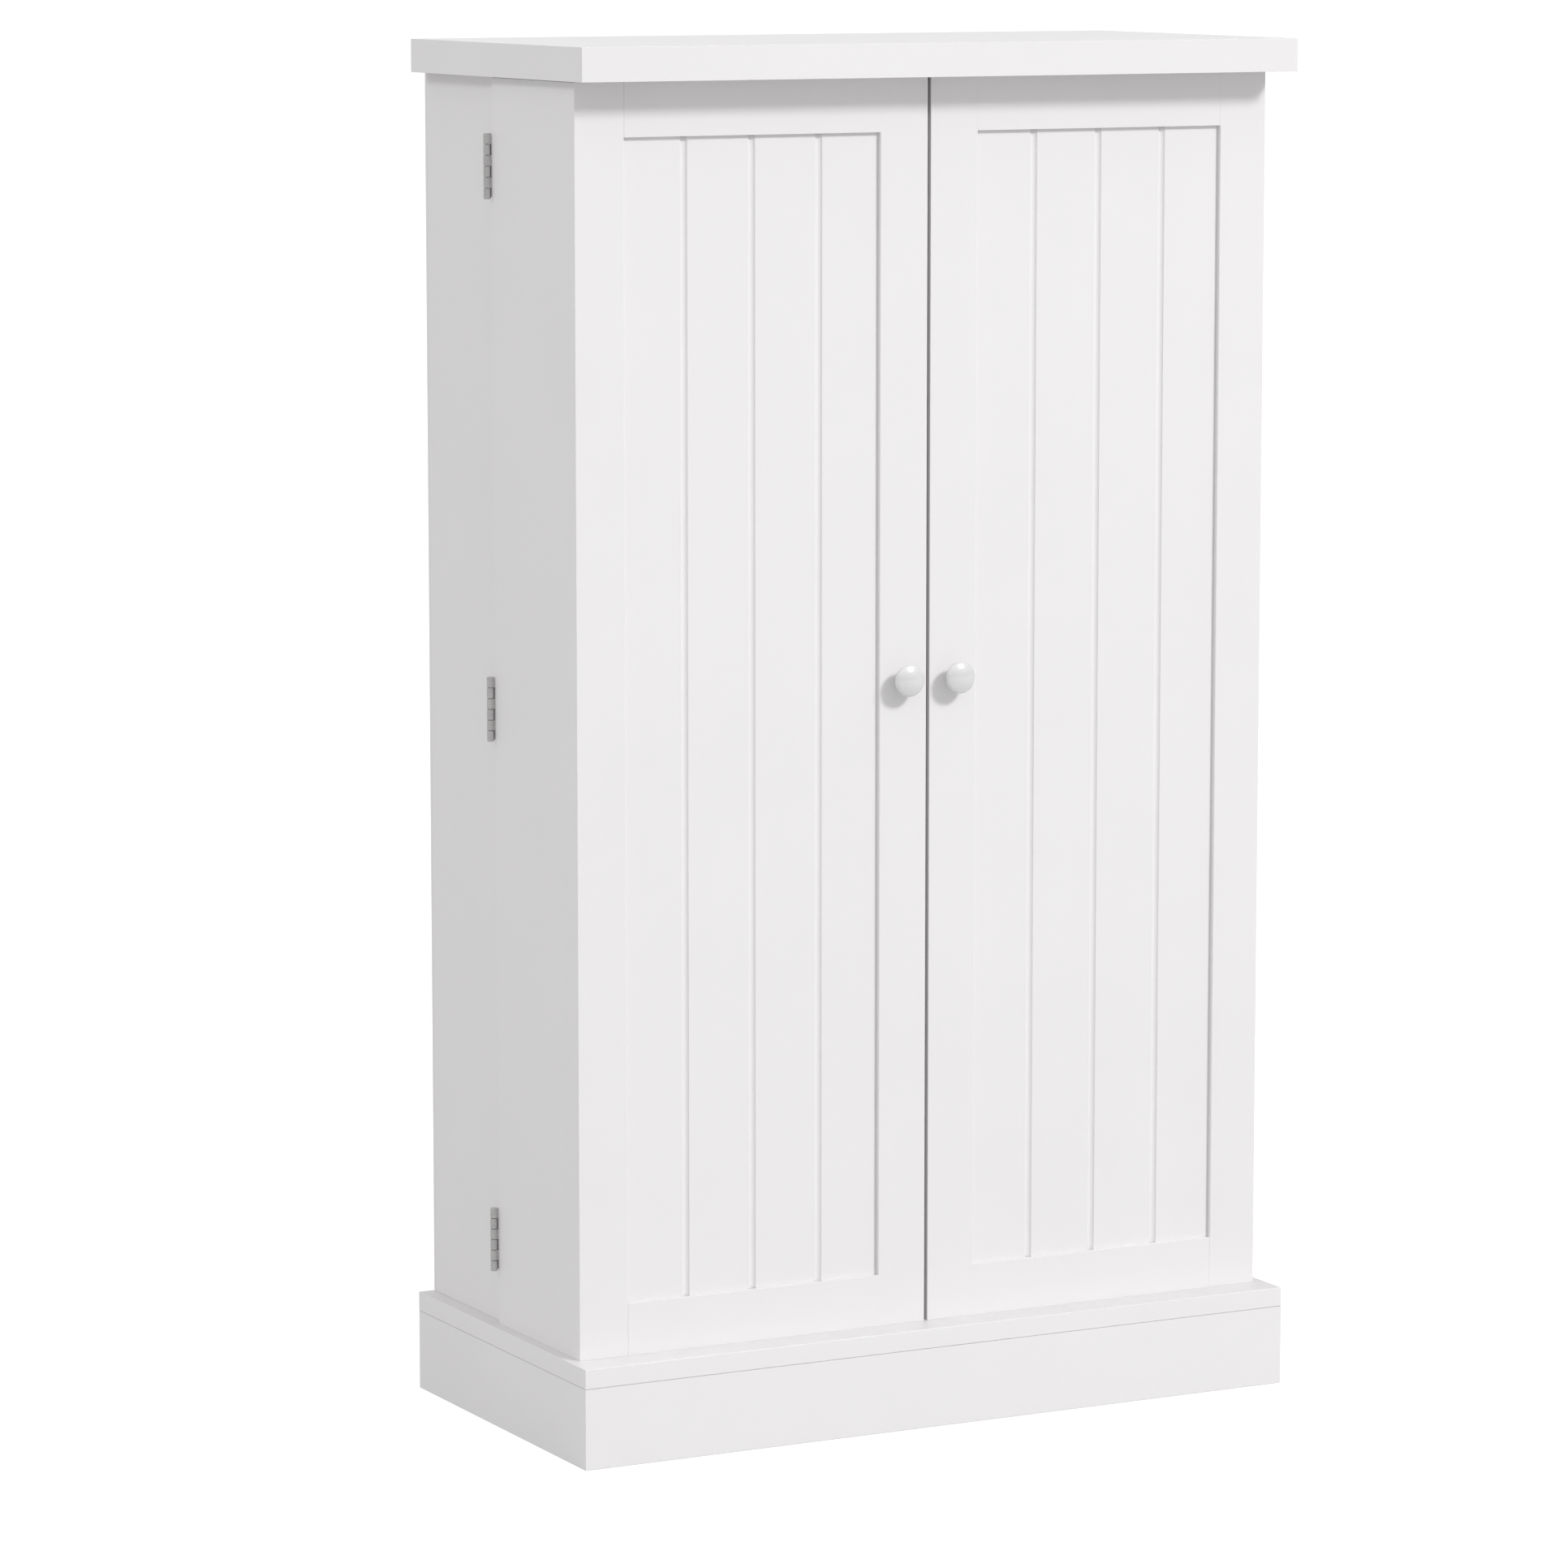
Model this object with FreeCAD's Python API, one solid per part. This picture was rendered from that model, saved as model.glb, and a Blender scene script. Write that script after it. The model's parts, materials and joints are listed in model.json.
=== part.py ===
import FreeCAD, Part
import math
import os
from FreeCAD import Vector

# Pantry cabinet with two deep rack doors. Millimetres, +Z up, the doors face -Y.
# The origin is on the floor, under the middle of the whole cabinet.

# ---------------------------------------------------------------- overall
width = 600.0
height = 1040.0
rear_y = 150.0                 # wall side of the base board
front_y = -150.0               # front edge of the top board
back_panel_allowance = 4.0     # the base board reaches this much further back than the top board

# ---------------------------------------------------------------- boards
top_thickness = 25.0
base_thickness = 15.0
plinth_height = 61.0
board = 15.0                   # carcass sides, shelves, door boxes and plinth
corner_block = 30.0            # square blocks in the plinth's corners
corner_block_lift = 2.0
base_top = plinth_height + base_thickness
top_bottom = height - top_thickness
top_rear_y = rear_y - back_panel_allowance
base_front_y = front_y + back_panel_allowance

# ---------------------------------------------------------------- carcass
carcass_half = 287.3           # outer faces of the two carcass sides
carcass_front_y = 25.8
carcass_rear_y = top_rear_y
carcass_inner = carcass_half - board
side_middle_x = -(carcass_half - board / 2)
back_thickness = 3.0
shelf_count = 4
fixed_shelf = 2                # counted from the bottom; this one is cammed to the sides
shelf_setback = 4.0
shelf_rear_play = 1.5
shelf_end_play = 0.5

# ---------------------------------------------------------------- doors
door_half = 291.3              # outer faces of the two doors
door_gap = 2.6                 # between the two doors
door_bottom = base_top + 0.2
door_top = top_bottom - 0.8
door_front_y = -118.5
door_rear_y = 22.0
frame_thickness = 18.0
frame_rear_y = door_front_y + frame_thickness
stile_width = 40.0
top_rail_width = 40.0
bottom_rail_width = 39.0
panel_recess = 3.4
panel_slot = 8.0               # width of the slot in the frame that holds the panel
eased_radius = 1.2             # rounding of the stiles' edges along the panel, stopped at the rails
tongue = 6.0                   # how far the panel and the rails' tongues enter the stiles
tongue_play = 0.1              # at the end of a tongue, and beside a rail's tongue
panel_play = 0.05              # beside the panel in its slot
plank_pitch = 55.5
cove_width = 5.8               # round-bottomed grooves between the planks of a panel
cove_radius = 3.5
rack_shelf_count = 4
rack_shelf_thickness = 12.0
rack_setback = 3.0             # the racks stay this much inside the door's rear edge
rack_bar_height = 22.0
rack_bar_thickness = 9.0
rack_bar_lift = 36.0           # clear height from a rack shelf to the bar that keeps jars in

# ---------------------------------------------------------------- hinges
hinge_x = -294.3               # barrel axis of the left door
hinge_y = 0.5 * (door_rear_y + carcass_front_y)
hinge_height = 48.5
hinge_centres = (141.0, 545.0, 949.0)
barrel_radius = 2.6
pin_radius = 1.3
pin_play = 0.05
knuckles = 6
knuckle_gap = 0.35
knuckle_chamfer = 0.3
leaf_thickness = 1.2
leaf_clear_of_barrel = 0.5
leaf_end_relief = 1.6          # the leaves are this much shorter than the barrel at each end
leaf_margin = 1.0              # between a leaf's far edge and the inner face of its board
leaf_screw_rise = 15.0

# ---------------------------------------------------------------- countersunk wood screws
screw_radius = 1.4
screw_head_radius = 2.8
screw_shank = 10.0
screw_tip = 2.0
screw_tip_radius = 0.3
screw_seat_play = 0.05         # between a screw and the steel that it holds
pilot_play = 0.1               # between a screw and its pilot hole
pilot_depth = 13.0
screw_cross = (1.6, 0.25, 0.55)      # crosses are given as arm, half the slot's width, depth

# ---------------------------------------------------------------- knob and its screw
knob_x = -21.6
knob_z = 567.5
knob_radius = 12.0
knob_reach = 16.2
knob_dome_rise = 5.0           # from the knob's widest ring to its crown
knob_rim_radius = 2.8          # rounding of the rim, which runs tangent into the shallow dome
knob_foot = [(0.0, 0.0), (6.6, 0.0), (6.6, 1.2), (5.0, 2.6), (4.6, 5.0), (5.4, 7.2)]    # radius, depth
knob_crown_flat = 0.3          # the dome ends in a tiny flat, so that its arc doesn't touch the axis
knob_bore_radius = 2.05
knob_bore_depth = 10.0
knob_screw_radius = 2.0
knob_screw_grip = 9.0          # length of thread inside the knob
knob_screw_hole = 2.25
knob_screw_head = (4.0, 3.2, 2.6)    # radius at the board, radius at the top, height
knob_screw_cross = (2.2, 0.4, 1.4)

# ---------------------------------------------------------------- shelf pins
pin_hole_radius = 2.55
pin_hole_depth = 8.5
pin_hole_pitch = 32.0
pin_holes_each_way = 2         # spare holes above and below the one in use
pin_columns = (50.0, 122.0)
pin_shaft_radius = 2.5
pin_shaft_in = 8.0             # length inside the side board
pin_shaft_out = 2.0
pin_tongue_start = 1.0
pin_tongue_length = 10.0
pin_tongue_half = 3.5
pin_tongue_thickness = 2.0

# ---------------------------------------------------------------- cam fittings
cam_radius = 7.5
cam_depth = 12.0
cam_edge = 24.0
cam_rows = (60.0, 112.0)
cam_play = 0.05
cam_floor_play = 0.2
cam_cross = (4.5, 0.9, 2.5)

# ---------------------------------------------------------------- back panel screws
back_screw_first_z = 112.0
back_screw_pitch = 172.0
back_screw_rows = 6
shelf_screw_x = (-140.0, 0.0, 140.0)
back_screw_radius = 1.2
back_screw_length = 15.0
back_pilot_radius = 1.3
back_pilot_depth = 13.0
back_screw_head = (3.4, 2.4, 0.9)
back_screw_cross = (1.8, 0.3, 0.5)

# ---------------------------------------------------------------- magnet catch and strike plates
catch_half = 26.0
catch_front_y = 27.0
catch_rear_y = 50.0
catch_bottom = 1001.0
magnet_front_y = 23.6
magnet_rear_y = 30.0
magnet_half = 6.0
magnet_z = (1002.5, 1011.5)
catch_screw_x = 19.5
catch_screw_y = 42.0
catch_screw_hole = 1.8
strike_x = door_gap / 2 + board / 2
strike_half = 6.5
strike_thickness = 1.2
strike_z = (988.0, 1011.0)
strike_screw_z = 993.0

# ---------------------------------------------------------------- wall brackets
bracket_x = 230.0
bracket_width = 20.0
bracket_thickness = 1.8
bracket_front_y = 120.0
bracket_bottom = 985.0
bracket_screw_y = 131.0
bracket_pilot_depth = 14.0
wall_hole_z = 997.0
wall_hole_radius = 2.5

over = 1.0                     # how far a cutter stands out of the piece that it cuts

os.makedirs("parts", exist_ok=True)


def box(x0, x1, y0, y1, z0, z1):
    return Part.makeBox(x1 - x0, y1 - y0, z1 - z0, Vector(x0, y0, z0))


def box_between(xa, xb, y0, y1, z0, z1):
    return box(min(xa, xb), max(xa, xb), y0, y1, z0, z1)


def rod(radius, start, direction, length):
    return Part.makeCylinder(radius, length, Vector(*start), Vector(*direction))


def cone(r0, r1, start, direction, length):
    return Part.makeCone(r0, r1, length, Vector(*start), Vector(*direction))


def prism(points, direction):
    wire = Part.makePolygon([Vector(*p) for p in points + points[:1]])
    return Part.Face(wire).extrude(Vector(*direction))


def mirrored(shape):
    return shape.mirror(Vector(0, 0, 0), Vector(1, 0, 0))


def group(shapes):
    return Part.makeCompound(shapes)


def cut_cross(shape, start, inward, cross):
    # Sinks a screwdriver cross into a face, from start along inward.
    arm, half_slot, depth = cross
    turn = FreeCAD.Rotation(Vector(0, 0, 1), Vector(*inward))
    for a, b in ((arm, half_slot), (half_slot, arm)):
        slot = box(-a, a, -b, b, -over, depth)
        slot.Placement = FreeCAD.Placement(Vector(*start), turn)
        shape = shape.cut(slot)
    return shape


def wood_screw(start, run):
    # Countersunk screw: start is the middle of its flat head, run is the way it goes in.
    along = Vector(*run)
    head = cone(screw_head_radius, screw_radius, start, run, leaf_thickness)
    neck = Vector(*start) + along * leaf_thickness
    shank = Part.makeCylinder(screw_radius, screw_shank, neck, along)
    tip = Part.makeCone(screw_radius, screw_tip_radius, screw_tip, neck + along * screw_shank, along)
    return cut_cross(head.fuse(shank).fuse(tip), start, run, screw_cross)


def countersink(start, run):
    # What a wood screw's head needs cut out of a steel plate.
    wide = screw_head_radius + screw_seat_play
    narrow = screw_radius + screw_seat_play
    return cone(wide, narrow, start, run, leaf_thickness)


def pilot(start, run):
    return rod(screw_radius + pilot_play, start, run, pilot_depth)


def save(name, shape):
    shape.exportStep("parts/" + name + ".step")


# ================================================================ top and base
top_board = box(-width / 2, width / 2, front_y, top_rear_y, top_bottom, height)
base_board = box(-width / 2, width / 2, base_front_y, rear_y, plinth_height, base_top)

# The plinth is mitred at its two front corners.
half = width / 2
inner = half - board
plinth_front = prism(
    [(-half, base_front_y, 0), (half, base_front_y, 0),
     (inner, base_front_y + board, 0), (-inner, base_front_y + board, 0)],
    (0, 0, plinth_height))
plinth_left = prism(
    [(-half, base_front_y, 0), (-inner, base_front_y + board, 0), (-inner, rear_y, 0), (-half, rear_y, 0)],
    (0, 0, plinth_height))
plinth_right = mirrored(plinth_left)
plinth_back = box(-inner, inner, rear_y - board, rear_y, 0, plinth_height)

blocks = []
for side in (-1, 1):
    for y0 in (base_front_y + board, rear_y - board - corner_block):
        blocks.append(box_between(side * inner, side * (inner - corner_block), y0, y0 + corner_block,
                                  corner_block_lift, plinth_height))
plinth_blocks = group(blocks)

# ================================================================ shelf heights
clear = top_bottom - base_top - shelf_count * board
tier = clear / (shelf_count + 1)
shelf_bottoms = [base_top + tier * (i + 1) + board * i for i in range(shelf_count)]
fixed_bottom = shelf_bottoms[fixed_shelf - 1]
side_cam_heights = (base_top + cam_edge, top_bottom - cam_edge)
pin_drop = pin_shaft_radius    # the pins' axes lie this far under the shelf that they carry

# ================================================================ carcass sides
side_left = box(-carcass_half, -carcass_inner, carcass_front_y, carcass_rear_y, base_top, top_bottom)
for i, z in enumerate(shelf_bottoms):
    if i + 1 == fixed_shelf:
        continue
    for y in pin_columns:
        for step in range(-pin_holes_each_way, pin_holes_each_way + 1):
            mouth = (-carcass_inner, y, z - pin_drop + step * pin_hole_pitch)
            side_left = side_left.cut(rod(pin_hole_radius, mouth, (-1, 0, 0), pin_hole_depth))

for y in cam_rows:
    for z in side_cam_heights:
        side_left = side_left.cut(
            rod(cam_radius + cam_play, (-carcass_inner, y, z), (-1, 0, 0), cam_depth + cam_floor_play))

for zc in hinge_centres:
    for dz in (-leaf_screw_rise, leaf_screw_rise):
        side_left = side_left.cut(pilot((side_middle_x, carcass_front_y, zc + dz), (0, 1, 0)))

back_screw_heights = [back_screw_first_z + back_screw_pitch * i for i in range(back_screw_rows)]
for z in back_screw_heights:
    side_left = side_left.cut(
        rod(back_pilot_radius, (side_middle_x, carcass_rear_y, z), (0, -1, 0), back_pilot_depth))

side_right = mirrored(side_left)

# ================================================================ back panel
back_panel = box(-carcass_half, carcass_half, carcass_rear_y, carcass_rear_y + back_thickness,
                 base_top, top_bottom)
back_screw_spots = []
for z in back_screw_heights:
    back_screw_spots.append((side_middle_x, z))
    back_screw_spots.append((-side_middle_x, z))
for x in shelf_screw_x:
    back_screw_spots.append((x, fixed_bottom + board / 2))
for x, z in back_screw_spots:
    back_panel = back_panel.cut(rod(back_pilot_radius, (x, carcass_rear_y, z), (0, 1, 0), back_thickness))
for x in (-bracket_x, bracket_x):
    back_panel = back_panel.cut(
        rod(wall_hole_radius, (x, carcass_rear_y, wall_hole_z), (0, 1, 0), back_thickness))

back_screws = []
head_wide, head_narrow, head_height = back_screw_head
for x, z in back_screw_spots:
    seat = (x, carcass_rear_y + back_thickness, z)
    screw = rod(back_screw_radius, seat, (0, -1, 0), back_screw_length)
    screw = screw.fuse(cone(head_wide, head_narrow, seat, (0, 1, 0), head_height))
    crown = (x, carcass_rear_y + back_thickness + head_height, z)
    back_screws.append(cut_cross(screw, crown, (0, -1, 0), back_screw_cross))
back_panel_screws = group(back_screws)


# ================================================================ shelves, their pins and the cams
def shelf_pin(side, y, z):
    # A round shaft in the side board with a flat tongue under the shelf, whose underside is at z.
    wall = side * carcass_inner
    shaft = rod(pin_shaft_radius, (wall + side * pin_shaft_in, y, z - pin_drop), (-side, 0, 0),
                pin_shaft_in + pin_shaft_out)
    near = wall - side * pin_tongue_start
    far = near - side * pin_tongue_length
    rest = box_between(near, far, y - pin_tongue_half, y + pin_tongue_half, z - pin_tongue_thickness, z)
    return shaft.fuse(rest)


def cam_disc(start, inward):
    return cut_cross(rod(cam_radius, start, inward, cam_depth), start, inward, cam_cross)


shelves = []
shelf_pin_list = []
cams = []
shelf_front_y = carcass_front_y + shelf_setback
for i, z in enumerate(shelf_bottoms):
    if i + 1 == fixed_shelf:
        shelf = box(-carcass_inner, carcass_inner, shelf_front_y, carcass_rear_y, z, z + board)
        for side in (-1, 1):
            for y in cam_rows:
                mouth = (side * (carcass_inner - cam_edge), y, z)
                shelf = shelf.cut(rod(cam_radius + cam_play, mouth, (0, 0, 1), cam_depth + cam_floor_play))
                cams.append(cam_disc(mouth, (0, 0, 1)))
        for x in shelf_screw_x:
            shelf = shelf.cut(
                rod(back_pilot_radius, (x, carcass_rear_y, z + board / 2), (0, -1, 0), back_pilot_depth))
    else:
        reach = carcass_inner - shelf_end_play
        shelf = box(-reach, reach, shelf_front_y, carcass_rear_y - shelf_rear_play, z, z + board)
        for side in (-1, 1):
            for y in pin_columns:
                shelf_pin_list.append(shelf_pin(side, y, z))
    shelves.append(shelf)
shelf_pins = group(shelf_pin_list)

for side in (-1, 1):
    for y in cam_rows:
        for z in side_cam_heights:
            cams.append(cam_disc((side * carcass_inner, y, z), (side, 0, 0)))
cam_fittings = group(cams)

# ================================================================ hinges
knuckle_pitch = hinge_height / knuckles
plate_x0 = hinge_x + barrel_radius + leaf_clear_of_barrel
door_plate_x1 = -door_half + board - leaf_margin
frame_plate_x1 = -carcass_inner - leaf_margin
door_screw_x = -door_half + board / 2


def knuckle_z(zc, index):
    top = zc + hinge_height / 2 - index * knuckle_pitch
    low = top - knuckle_pitch
    low_trim = knuckle_gap / 2 if index < knuckles - 1 else 0.0
    top_trim = knuckle_gap / 2 if index > 0 else 0.0
    return low + low_trim, top - top_trim


def knuckle_tube(low, top):
    narrow = barrel_radius - knuckle_chamfer
    foot = cone(narrow, barrel_radius, (hinge_x, hinge_y, low), (0, 0, 1), knuckle_chamfer)
    start = (hinge_x, hinge_y, low + knuckle_chamfer)
    middle = rod(barrel_radius, start, (0, 0, 1), top - low - 2 * knuckle_chamfer)
    start = (hinge_x, hinge_y, top - knuckle_chamfer)
    return middle.fuse([foot, cone(barrel_radius, narrow, start, (0, 0, 1), knuckle_chamfer)])


def knuckle_tab(low, top, y0, index):
    # The strip of leaf that joins a knuckle; the end knuckles' strips are rounded down to the leaf's end.
    tab_x1 = plate_x0 + leaf_clear_of_barrel
    y1 = y0 + leaf_thickness
    tab = box(hinge_x, tab_x1, y0, y1, low, top)
    r = leaf_end_relief
    if index == 0:
        corner = box(tab_x1 - r, tab_x1, y0, y1, top - r, top)
        tab = tab.cut(corner.cut(rod(r, (tab_x1 - r, y0, top - r), (0, 1, 0), leaf_thickness)))
    if index == knuckles - 1:
        corner = box(tab_x1 - r, tab_x1, y0, y1, low, low + r)
        tab = tab.cut(corner.cut(rod(r, (tab_x1 - r, y0, low + r), (0, 1, 0), leaf_thickness)))
    return tab


def hinge_leaf(zc, owned, plate_y0, plate_x1, screw_x, screw_side):
    # owned lists the leaf's knuckles from the top; screw_side is the y direction in which its screws run.
    z0 = zc - hinge_height / 2
    leaf = box(plate_x0, plate_x1, plate_y0, plate_y0 + leaf_thickness,
               z0 + leaf_end_relief, z0 + hinge_height - leaf_end_relief)
    for index in owned:
        low, top = knuckle_z(zc, index)
        leaf = leaf.fuse([knuckle_tube(low, top), knuckle_tab(low, top, plate_y0, index)])
    bore = (hinge_x, hinge_y, z0 - over)
    leaf = leaf.cut(rod(pin_radius + pin_play, bore, (0, 0, 1), hinge_height + 2 * over))
    face_y = plate_y0 + leaf_thickness if screw_side < 0 else plate_y0
    for dz in (-leaf_screw_rise, leaf_screw_rise):
        leaf = leaf.cut(countersink((screw_x, face_y, zc + dz), (0, screw_side, 0)))
    return leaf.removeSplitter()


frame_plate_y0 = carcass_front_y - leaf_thickness
frame_leaves = []
frame_screws = []
pins = []
door_leaves = []
door_screws = []
for zc in hinge_centres:
    frame_leaves.append(hinge_leaf(zc, (1, 3, 5), frame_plate_y0, frame_plate_x1, side_middle_x, 1))
    door_leaves.append(hinge_leaf(zc, (0, 2, 4), door_rear_y, door_plate_x1, door_screw_x, -1))
    pins.append(rod(pin_radius, (hinge_x, hinge_y, zc - hinge_height / 2), (0, 0, 1), hinge_height))
    for dz in (-leaf_screw_rise, leaf_screw_rise):
        for x in (side_middle_x, -side_middle_x):
            frame_screws.append(wood_screw((x, frame_plate_y0, zc + dz), (0, 1, 0)))
        door_screws.append(wood_screw((door_screw_x, door_rear_y + leaf_thickness, zc + dz), (0, -1, 0)))
frame_hinge_leaves = group(frame_leaves + [mirrored(s) for s in frame_leaves])
hinge_pins = group(pins + [mirrored(s) for s in pins])

# ================================================================ magnet catch
magnet_catch = box(-catch_half, catch_half, catch_front_y, catch_rear_y, catch_bottom, top_bottom)
catch_screw_hole_length = top_bottom - catch_bottom + 2 * over
for side in (-1, 1):
    x = side * strike_x
    magnet_catch = magnet_catch.fuse(
        box(x - magnet_half, x + magnet_half, magnet_front_y, magnet_rear_y, *magnet_z))
    start = (side * catch_screw_x, catch_screw_y, catch_bottom - over)
    magnet_catch = magnet_catch.cut(rod(catch_screw_hole, start, (0, 0, 1), catch_screw_hole_length))

# ================================================================ wall brackets
bracket_list = []
bracket_plate_z = top_bottom - bracket_thickness
for side in (-1, 1):
    x = side * bracket_x
    x0 = x - bracket_width / 2
    x1 = x + bracket_width / 2
    flat = box(x0, x1, bracket_front_y, carcass_rear_y, bracket_plate_z, top_bottom)
    upright = box(x0, x1, carcass_rear_y - bracket_thickness, carcass_rear_y, bracket_bottom, top_bottom)
    seat = (x, bracket_screw_y, bracket_plate_z)
    bracket = flat.fuse(upright).cut(countersink(seat, (0, 0, 1)))
    bracket = bracket.cut(rod(screw_radius + screw_seat_play, seat, (0, 0, 1), bracket_thickness + over))
    start = (x, carcass_rear_y - bracket_thickness - over, wall_hole_z)
    bracket = bracket.cut(rod(wall_hole_radius, start, (0, 1, 0), bracket_thickness + 2 * over))
    bracket_list.append(bracket.removeSplitter())
    top_board = top_board.cut(
        rod(screw_radius + pilot_play, (x, bracket_screw_y, top_bottom), (0, 0, 1), bracket_pilot_depth))
    frame_screws.append(wood_screw(seat, (0, 0, 1)))
wall_brackets = group(bracket_list)
wood_screws = group(frame_screws)

# ================================================================ one door, drawn on the left
outer_x = -door_half
inner_x = -door_gap / 2
recess_x0 = outer_x + stile_width
recess_x1 = inner_x - stile_width
recess_z0 = door_bottom + bottom_rail_width
recess_z1 = door_top - top_rail_width
recess_height = recess_z1 - recess_z0
slot_y0 = door_front_y + panel_recess
slot_y1 = slot_y0 + panel_slot


def rounded_waste(x, side):
    # What a quarter-round edge takes off a stile at x; side is the x direction in which the stile lies.
    r = eased_radius
    centre_x = x + side * r
    waste = box_between(x, centre_x, door_front_y, door_front_y + r, recess_z0, recess_z1)
    return waste.cut(rod(r, (centre_x, door_front_y + r, recess_z0), (0, 0, 1), recess_height))


def stile(x0, x1, side):
    # side is the x direction from the panel to the stile.
    inner_edge = x0 if side > 0 else x1
    shape = box(x0, x1, door_front_y, frame_rear_y, door_bottom, door_top)
    slot = box_between(inner_edge, inner_edge + side * tongue, slot_y0, slot_y1, door_bottom, door_top)
    return shape.cut(slot).cut(rounded_waste(inner_edge, side))


def rail(z0, z1, slot_z0, slot_z1):
    reach = tongue - tongue_play
    shape = box(recess_x0, recess_x1, door_front_y, frame_rear_y, z0, z1)
    tongues = box(recess_x0 - reach, recess_x1 + reach, slot_y0 + tongue_play, slot_y1 - tongue_play, z0, z1)
    slot = box(recess_x0 - tongue - over, recess_x1 + tongue + over, slot_y0, slot_y1, slot_z0, slot_z1)
    return shape.fuse(tongues).cut(slot)


stile_outer = stile(outer_x, recess_x0, -1)
stile_inner = stile(recess_x1, inner_x, 1)
stile_inner = stile_inner.cut(
    rod(knob_screw_hole, (knob_x, door_front_y - over, knob_z), (0, 1, 0), frame_thickness + 2 * over))
rail_top = rail(recess_z1, door_top, recess_z1 - over, recess_z1 + tongue)
rail_bottom = rail(door_bottom, recess_z0, recess_z0 - tongue, recess_z0 + over)

reach = tongue - tongue_play
panel_y0 = slot_y0 + panel_play
panel = box(recess_x0 - reach, recess_x1 + reach, panel_y0, slot_y1 - panel_play,
            recess_z0 - reach, recess_z1 + reach)
panel_mid = 0.5 * (recess_x0 + recess_x1)
cove_axis_y = panel_y0 - (cove_radius ** 2 - (cove_width / 2) ** 2) ** 0.5
for k in (-1, 0, 1):
    cove_start = (panel_mid + k * plank_pitch, cove_axis_y, recess_z0 - tongue - over)
    panel = panel.cut(rod(cove_radius, cove_start, (0, 0, 1), recess_height + 2 * (tongue + over)))

side_outer = box(outer_x, outer_x + board, frame_rear_y, door_rear_y, door_bottom, door_top)
for zc in hinge_centres:
    for dz in (-leaf_screw_rise, leaf_screw_rise):
        side_outer = side_outer.cut(pilot((door_screw_x, door_rear_y, zc + dz), (0, -1, 0)))
side_inner = box(inner_x - board, inner_x, frame_rear_y, door_rear_y, door_bottom, door_top)

strike_screw_seat = (-strike_x, door_rear_y + strike_thickness, strike_screw_z)
strike = box(-strike_x - strike_half, -strike_x + strike_half, door_rear_y, door_rear_y + strike_thickness,
             *strike_z)
strike = strike.cut(countersink(strike_screw_seat, (0, -1, 0)))
side_inner = side_inner.cut(pilot((-strike_x, door_rear_y, strike_screw_z), (0, -1, 0)))
door_screws.append(wood_screw(strike_screw_seat, (0, -1, 0)))

box_x0 = outer_x + board
box_x1 = inner_x - board
box_top = box(box_x0, box_x1, frame_rear_y, door_rear_y, door_top - board, door_top)
box_bottom = box(box_x0, box_x1, frame_rear_y, door_rear_y, door_bottom, door_bottom + board)

rack_rear_y = door_rear_y - rack_setback
rack_floor = door_bottom + board
rack_clear = door_top - board - rack_floor - rack_shelf_count * rack_shelf_thickness
rack_tier = rack_clear / (rack_shelf_count + 1)
rack_pitch = rack_tier + rack_shelf_thickness
rack_shelf_bottoms = [rack_floor + rack_tier + rack_pitch * i for i in range(rack_shelf_count)]
rack_floors = [rack_floor] + [z + rack_shelf_thickness for z in rack_shelf_bottoms]
rack_shelves = [box(box_x0, box_x1, frame_rear_y, rack_rear_y, z, z + rack_shelf_thickness)
                for z in rack_shelf_bottoms]
bars = [box(box_x0, box_x1, rack_rear_y - rack_bar_thickness, rack_rear_y,
            z + rack_bar_lift, z + rack_bar_lift + rack_bar_height) for z in rack_floors]


# ================================================================ knob and its screw
def knob_point(r, depth):
    return Vector(knob_x + r, door_front_y - depth, knob_z)


ring_radius = knob_radius - knob_rim_radius
ring_depth = knob_reach - knob_dome_rise
dome_radius = (ring_radius ** 2 + knob_dome_rise ** 2 - knob_rim_radius ** 2) / (
    2 * (knob_dome_rise - knob_rim_radius))
join_angle = math.asin(ring_radius / (dome_radius - knob_rim_radius))    # from the axis to the rim's end


def rim_point(angle):
    return knob_point(ring_radius + knob_rim_radius * math.cos(angle),
                      ring_depth + knob_rim_radius * math.sin(angle))


def dome_point(r):
    return knob_point(r, knob_reach - dome_radius + (dome_radius ** 2 - r ** 2) ** 0.5)


# The outline runs out from the axis along the foot, round the rim and over the dome.
rim_start = rim_point(-math.pi / 2)
rim_end = rim_point(math.pi / 2 - join_angle)
crown = dome_point(knob_crown_flat)
apex = Vector(knob_x, crown.y, knob_z)
foot = Part.makePolygon([knob_point(r, depth) for r, depth in knob_foot] + [rim_start])
rim = Part.Arc(rim_start, rim_point(-join_angle / 2), rim_end).toShape()
dome = Part.Arc(rim_end, dome_point(ring_radius / 2), crown).toShape()
flat_top = Part.makeLine(crown, apex)
axis_line = Part.makeLine(apex, knob_point(0, 0))
outline = Part.Wire(foot.Edges + [rim, dome, flat_top, axis_line])
knob = Part.Face(outline).revolve(knob_point(0, 0), Vector(0, 1, 0), 360)
knob = knob.cut(rod(knob_bore_radius, knob_point(0, -over), (0, -1, 0), knob_bore_depth + over))

head_wide, head_narrow, head_height = knob_screw_head
seat = (knob_x, frame_rear_y, knob_z)
knob_screw = rod(knob_screw_radius, seat, (0, -1, 0), frame_thickness + knob_screw_grip)
knob_screw = knob_screw.fuse(cone(head_wide, head_narrow, seat, (0, 1, 0), head_height))
crown_seat = (knob_x, frame_rear_y + head_height, knob_z)
knob_screw = cut_cross(knob_screw, crown_seat, (0, -1, 0), knob_screw_cross)

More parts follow.
